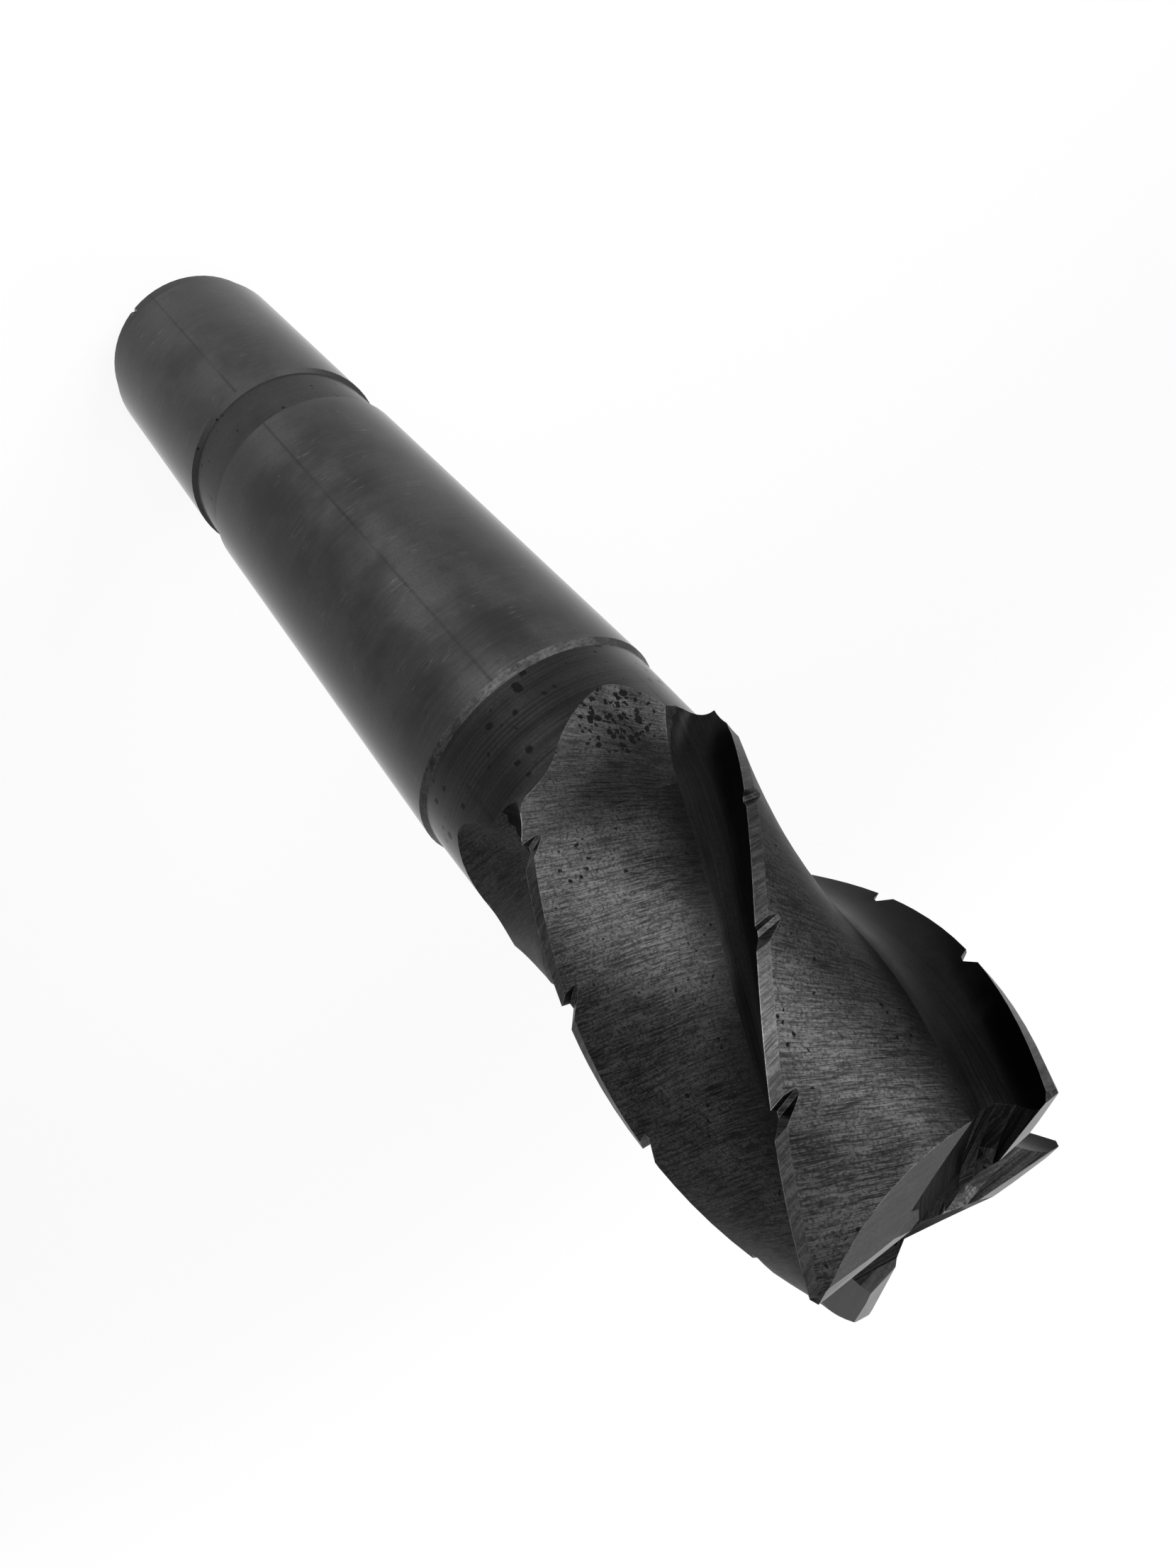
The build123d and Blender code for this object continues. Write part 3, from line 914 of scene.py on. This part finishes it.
@dataclass
class EndMillBody:
    """The whole tool: a merged copy of the CAD solid, threaded, and dressed area by area."""

    node: bpy.types.Object
    helix: HelixSizes = field(default_factory=HelixSizes)
    notches: NotchSizes = field(default_factory=NotchSizes)
    end: EndSizes = field(default_factory=EndSizes)
    shank: ShankSizes = field(default_factory=ShankSizes)
    smooth_angle: float = 20.0
    land_skew: float = 40.0

    def build(self) -> bpy.types.Object:
        """Makes the finished piece.

        Returns:
            The tool's visible body.
        """
        body = self.copy_solid()
        self.cut_thread(body)
        bpy.ops.object.shade_smooth_by_angle(angle=math.radians(self.smooth_angle))
        self.dress(body)
        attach(body, "root")
        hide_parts(NODE)
        faces, finishes = len(body.data.polygons), len(body.data.materials)
        log.info("%s: %d faces in %d finishes", body.name, faces, finishes)
        return body

    def copy_solid(self) -> bpy.types.Object:
        """Copies the CAD node's mesh and merges its loose triangles.

        Returns:
            The copy, at the origin.
        """
        mesh = self.node.data.copy()
        mesh.name = "end_mill_body"
        body = bpy.data.objects.new("end_mill_body", mesh)
        bpy.context.scene.collection.objects.link(body)
        self.pick(body)
        bpy.ops.mesh.customdata_custom_splitnormals_clear()
        bpy.ops.object.mode_set(mode="EDIT")
        bpy.ops.mesh.select_all(action="SELECT")
        bpy.ops.mesh.remove_doubles(threshold=WELD)
        bpy.ops.mesh.dissolve_degenerate(threshold=SLIVER)
        bpy.ops.object.mode_set(mode="OBJECT")
        return body

    def pick(self, body: bpy.types.Object) -> None:
        """Makes the body the only selected object, and the active one."""
        bpy.ops.object.select_all(action="DESELECT")
        body.select_set(True)
        bpy.context.view_layer.objects.active = body

    def cut_thread(self, body: bpy.types.Object) -> None:
        """Cuts the drawbar thread into the bore's wall, and leaves the body selected.

        Args:
            body: The merged copy of the solid.
        """
        coil = DrawbarTap().build()
        self.pick(body)
        cut = body.modifiers.new("tapped", "BOOLEAN")
        cut.operation = "DIFFERENCE"
        cut.solver = "EXACT"
        cut.object = coil
        bpy.ops.object.modifier_apply(modifier=cut.name)
        bpy.data.objects.remove(coil)

    def dress(self, body: bpy.types.Object) -> None:
        """Sorts the faces into regions, writes the lay of the marks and assigns the finishes.

        Args:
            body: The smoothed body.
        """
        faces = FaceTable(body.data)
        self.sort_faces(faces)
        body.data.materials.clear()
        for finish in FINISHES:
            body.data.materials.append(finish.material())
        order = {finish.region: number for number, finish in enumerate(FINISHES)}
        slots = np.array([order[region] for region in faces.region], dtype=np.int32)
        body.data.polygons.foreach_set("material_index", slots)
        self.write_lay(body.data, faces)
        for each, slot in order.items():
            log.info("  %s: %d faces", each.value, int((slots == slot).sum()))

    def tooth_directions(self) -> list[tuple[np.ndarray, np.ndarray]]:
        """Returns unit vectors down each end edge and out of its rake face."""
        rake = math.radians(self.helix.rake_angle)
        found = []
        for tooth in range(self.helix.tooth_count):
            turn = math.radians(self.helix.first_tooth + tooth * self.helix.tooth_step)
            down = np.array([-math.cos(rake + turn), -math.sin(rake + turn), 0.0])
            out = np.array([-math.sin(rake + turn), math.cos(rake + turn), 0.0])
            found.append((down, out))
        return found

    def sort_faces(self, faces: FaceTable) -> None:
        """Finds the region of every face, and its tooth on the end face.

        Args:
            faces: The body's faces.
        """
        z, radius, normal = faces.height, faces.radius, faces.normal
        shank, helix, region = self.shank, self.helix, faces.region
        region[z > shank.collar] = Region.COLLAR
        region[z > shank.neck - shank.neck_slack] = Region.NECK
        region[(z > shank.recess[0]) & (z < shank.recess[1])] = Region.RECESS
        region[z < shank.band_top] = Region.BAND
        inside = (radius < shank.bore_mouth) & (z < shank.bore_depth) & (z > shank.end_face)
        region[inside] = Region.BORE

        share = helix.share_behind(z, np.degrees(faces.angle))
        outward = (normal[:, :2] * faces.centre[:, :2]).sum(1)
        outward /= np.maximum(radius, LEAST_RADIUS)
        turned = (z < shank.fillet) & (radius > shank.turned_radius)
        fillet = (z < helix.head_start) & (radius > shank.fillet_from)
        fillet &= (outward > shank.fillet_outward) & (normal[:, 2] < shank.fillet_up)
        rise = helix.cutter_radius - shank.neck_radius
        from_middle = np.hypot(radius - helix.cutter_radius, z - (helix.head_start - rise))
        fillet &= abs(from_middle - rise) < shank.fillet_slack
        head = (z > shank.neck) & ~turned & ~fillet
        region[head] = Region.BACK
        region[head & (z < helix.head_start + helix.run_out)] = Region.RUN_OUT
        undercut = (share < helix.undercut_share) & (outward < helix.undercut_outward)
        region[head & ((share > helix.valley_share) | undercut)] = Region.VALLEY
        land = (radius > helix.land_radius) & (outward > helix.land_outward)
        region[head & land] = Region.LAND
        self.mark_notches(faces, head)
        self.mark_end(faces, head)

    def mark_notches(self, faces: FaceTable, head: np.ndarray) -> None:
        """Marks the faces of the chip-breaker notches.

        Args:
            faces: The body's faces.
            head: Mask of the head's faces.
        """
        size = self.notches
        inner = self.helix.cutter_radius - size.depth - size.root_slack
        outer = self.helix.cutter_radius + size.outer_slack
        for frame in size.frames(self.helix):
            to_notch = np.array(frame.inverted())
            x, y, z = (faces.centre @ to_notch[:3, :3].T + to_notch[:3, 3]).T
            turned = faces.normal @ to_notch[:3, :3].T
            near = (y > -size.length) & (y < size.overrun) & (x > inner) & (x < outer)
            near &= (z > -size.lower_slack) & (z < size.width + size.upper_slack)
            faces.region[head & near & (abs(turned[:, 1]) < size.normal_along)] = Region.NOTCH

    def mark_end(self, faces: FaceTable, head: np.ndarray) -> None:
        """Marks the reliefs and gashes of the end teeth, and the tooth of each face.

        Args:
            faces: The body's faces.
            head: Mask of the head's faces.
        """
        end, up = self.end, faces.normal[:, 2]
        below = self.helix.tip - faces.height
        outs = [out for _, out in self.tooth_directions()]

        def relief(angle: float) -> np.ndarray:
            """Returns the match of each face with each tooth's relief at this angle."""
            turn = math.radians(angle)
            upright = np.array([0.0, 0.0, math.cos(turn)])
            planes = [out * -math.sin(turn) + upright for out in outs]
            return np.stack([faces.normal @ plane for plane in planes])

        primary, secondary = relief(end.primary_angle), relief(end.secondary_angle)
        match = np.stack([faces.normal @ out for out in outs])
        offset = np.stack([faces.centre @ out for out in outs])
        near_wall = abs(offset - end.wall_offset) < end.wall_slack
        wall = ((match > end.wall_match) & near_wall).any(0) & (abs(up) < end.wall_tilt)
        floor = (up > end.floor_up) & (below > end.floor_depth)
        at_wall = ((match > end.root_match) & near_wall).any(0)
        root = at_wall & (up > end.root_up) & (below > end.root_depth)
        inside = head & (below < end.gash_depth) & (faces.radius < end.gash_radius)
        faces.region[inside & (floor | wall | root)] = Region.GASH
        tip = head & (below < end.relief_depth)
        faces.region[tip & (secondary.max(0) > end.relief_match)] = Region.SECONDARY
        is_primary = tip & (up > end.primary_up) & (below < end.primary_depth)
        faces.region[is_primary] = Region.PRIMARY
        faces.tooth = np.where(up > end.facing_up, secondary.argmax(0), match.argmax(0))
        faces.tooth[is_primary] = primary.argmax(0)[is_primary]

    def write_lay(self, mesh: bpy.types.Mesh, faces: FaceTable) -> None:
        """Writes every face corner's place across and along the tool marks, in mm.

        The third number is the share behind the edge on the head, and else the share of a turn
        round the axis.

        Args:
            mesh: The body's mesh.
            faces: Its faces, sorted.
        """
        helix, owner = self.helix, faces.owner
        point = faces.corner_points()
        height = point[:, 2]
        radius = np.hypot(point[:, 0], point[:, 1])
        # A face's corners keep to its side of the seams at half a turn and at a cutting edge.
        face_angle = faces.angle[owner]
        own_angle = np.arctan2(point[:, 1], point[:, 0])
        angle = face_angle + (own_angle - face_angle + math.pi) % math.tau - math.pi
        lay = np.stack([height + radius, radius * angle, angle / math.tau], axis=1)
        share = helix.share_behind(faces.height, np.degrees(faces.angle))[owner]
        behind = helix.share_behind(height, np.degrees(angle))
        behind = share + (behind - share + 0.5) % 1.0 - 0.5

        arc = behind * math.radians(helix.tooth_step) * radius
        lean = math.radians(helix.helix_angle)
        along_flute = height / math.cos(lean) - arc * math.sin(lean)
        across_flute = arc * math.cos(lean)

        def put(region: Region, across: np.ndarray, along: np.ndarray) -> None:
            """Sets the lay of one region's corners."""
            mine = (faces.region == region)[owner]
            lay[mine, 0] = across[mine]
            lay[mine, 1] = along[mine]
            lay[mine, 2] = behind[mine]

        for region in (Region.BACK, Region.RUN_OUT, Region.NOTCH):
            put(region, along_flute, across_flute)
        put(Region.VALLEY, across_flute, along_flute)
        skew = math.radians(self.land_skew)
        put(
            Region.LAND,
            along_flute * math.cos(skew) + across_flute * math.sin(skew),
            across_flute * math.cos(skew) - along_flute * math.sin(skew),
        )
        directions = np.array(self.tooth_directions())[faces.tooth[owner]]
        down, out = directions[:, 0], directions[:, 1]
        for region in (Region.PRIMARY, Region.SECONDARY, Region.GASH):
            put(region, (point * out).sum(1) + height, (point * down).sum(1))
        layer = mesh.attributes.new(LAY, "FLOAT_VECTOR", "CORNER")
        layer.data.foreach_set("vector", lay.astype(np.float32).ravel())


@dataclass(frozen=True)
class SoftLamp:
    """One soft box, placed round the tool. Angles are in degrees and sizes in metres."""

    name: str
    azimuth: float
    elevation: float
    width: float
    height: float
    power: float
    distance: float = 1.0
    target: float = 0.14

    def build(self) -> bpy.types.Object:
        """Returns the lamp, turned towards the tool."""
        light = bpy.data.lights.new(self.name, "AREA")
        light.shape = "RECTANGLE"
        light.size = self.width
        light.size_y = self.height
        light.energy = self.power
        lamp = bpy.data.objects.new(self.name, light)
        bpy.context.scene.collection.objects.link(lamp)
        turn, rise = math.radians(self.azimuth), math.radians(self.elevation)
        flat = math.cos(rise) * self.distance
        centre = Vector((0.0, 0.0, self.target))
        away = (flat * math.cos(turn), flat * math.sin(turn), math.sin(rise) * self.distance)
        lamp.location = centre + Vector(away)
        lamp.rotation_euler = (lamp.location - centre).to_track_quat("Z", "Y").to_euler()
        log.info("lamp %s", self.name)
        return lamp


@dataclass
class Studio:
    """Pale floor, soft lamps, even surroundings and the camera. Lengths are in metres."""

    floor_size: float = 12.0
    floor_gap: float = 0.0001
    floor_tone: float = 0.9
    floor_glow: float = 0.88
    floor_fade: Span = (0.25, 0.8)
    ambient: float = 0.25
    lens: float = 29.58
    sensor: float = 36.0
    clip: Span = (0.005, 50.0)
    eye: Triple = (0.002122, 0.172124, 0.251708)
    right: Triple = (0.748906, -0.345565, 0.565442)
    down: Triple = (-0.662676, -0.390532, 0.639019)
    ahead: Triple = (0.0, -0.853270, -0.521469)
    lamps: tuple[SoftLamp, ...] = (
        SoftLamp(
            "key_box", azimuth=84.0, elevation=4.0, width=0.3, height=0.34, power=2.2, distance=0.4
        ),
        SoftLamp(
            "side_box", azimuth=24.0, elevation=20.0, width=0.3, height=0.3, power=2.3,
            distance=0.45, target=0.2,
        ),
        SoftLamp("top_box", azimuth=-70.0, elevation=60.0, width=0.8, height=0.8, power=3.0),
    )

    def build(self) -> None:
        """Sets up the whole studio."""
        self.floor()
        self.surroundings()
        for lamp in self.lamps:
            lamp.build()
        self.camera()
        bpy.context.scene.view_settings.view_transform = "Standard"

    def seen(self, graph: Graph) -> Socket:
        """Returns 1 for camera, glossy and transmission rays, and else 0."""
        path = graph.node("ShaderNodeLightPath").outputs
        first = graph.math("MAXIMUM", path["Is Camera Ray"], path["Is Glossy Ray"])
        return graph.math("MAXIMUM", first, path["Is Transmission Ray"])

    def floor(self) -> bpy.types.Object:
        """Returns the floor: it glows to the camera, keeps the shadow and is clear from below."""
        bpy.ops.object.select_all(action="DESELECT")
        bpy.ops.mesh.primitive_plane_add(size=self.floor_size, location=(0.0, 0.0, -self.floor_gap))
        floor = bpy.context.object
        floor.name = "studio_floor"
        material = bpy.data.materials.new("pale_floor")
        material.use_nodes = True
        material.node_tree.nodes.clear()
        graph = Graph(material.node_tree)
        matt = graph.node("ShaderNodeBsdfDiffuse", {"Color": grey(self.floor_tone)}).outputs[0]
        glow = graph.node("ShaderNodeEmission", {"Color": grey(1.0), "Strength": 1.0}).outputs[0]
        place = graph.node("ShaderNodeTexCoord").outputs["Object"]
        away = graph.vector("LENGTH", {0: place}, "Value")
        glow_share = graph.ramp(away, *self.floor_fade, self.floor_glow, 1.0)
        share = graph.product(self.seen(graph), glow_share)
        mixed = graph.node("ShaderNodeMixShader", {0: share, 1: matt, 2: glow}).outputs[0]
        below = graph.node("ShaderNodeNewGeometry").outputs["Backfacing"]
        clear = graph.node("ShaderNodeBsdfTransparent").outputs[0]
        shown = graph.node("ShaderNodeMixShader", {0: below, 1: mixed, 2: clear}).outputs[0]
        graph.node("ShaderNodeOutputMaterial", {"Surface": shown})
        floor.data.materials.append(material)
        log.info("floor %s", floor.name)
        return floor

    def surroundings(self) -> None:
        """Sets the world: white to the camera and in reflections, else a plain grey light."""
        world = bpy.data.worlds.new("studio")
        bpy.context.scene.world = world
        world.use_nodes = True
        world.node_tree.nodes.clear()
        graph = Graph(world.node_tree)
        colour = graph.blend(self.seen(graph), grey(self.ambient), grey(1.0))
        light = graph.node("ShaderNodeBackground", {"Color": colour, "Strength": 1.0}).outputs[0]
        graph.node("ShaderNodeOutputWorld", {"Surface": light})

    def camera(self) -> bpy.types.Object:
        """Returns the camera at the photograph's viewpoint. Its lens and sensor are in mm."""
        data = bpy.data.cameras.new("camera")
        data.sensor_fit = "VERTICAL"
        data.sensor_height = self.sensor
        data.lens = self.lens
        data.clip_start, data.clip_end = self.clip
        camera = bpy.data.objects.new("camera", data)
        bpy.context.scene.collection.objects.link(camera)
        axes = Matrix((self.right, -Vector(self.down), -Vector(self.ahead))).transposed()
        camera.matrix_world = Matrix.Translation(self.eye) @ axes.to_4x4()
        bpy.context.scene.camera = camera
        return camera


def main() -> None:
    """Builds the tool and its studio."""
    logging.basicConfig(level=logging.INFO, format="%(name)s: %(message)s")
    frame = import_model()
    EndMillBody(frame["nodes"][NODE]).build()
    Studio().build()


if __name__ == "__main__":
    main()
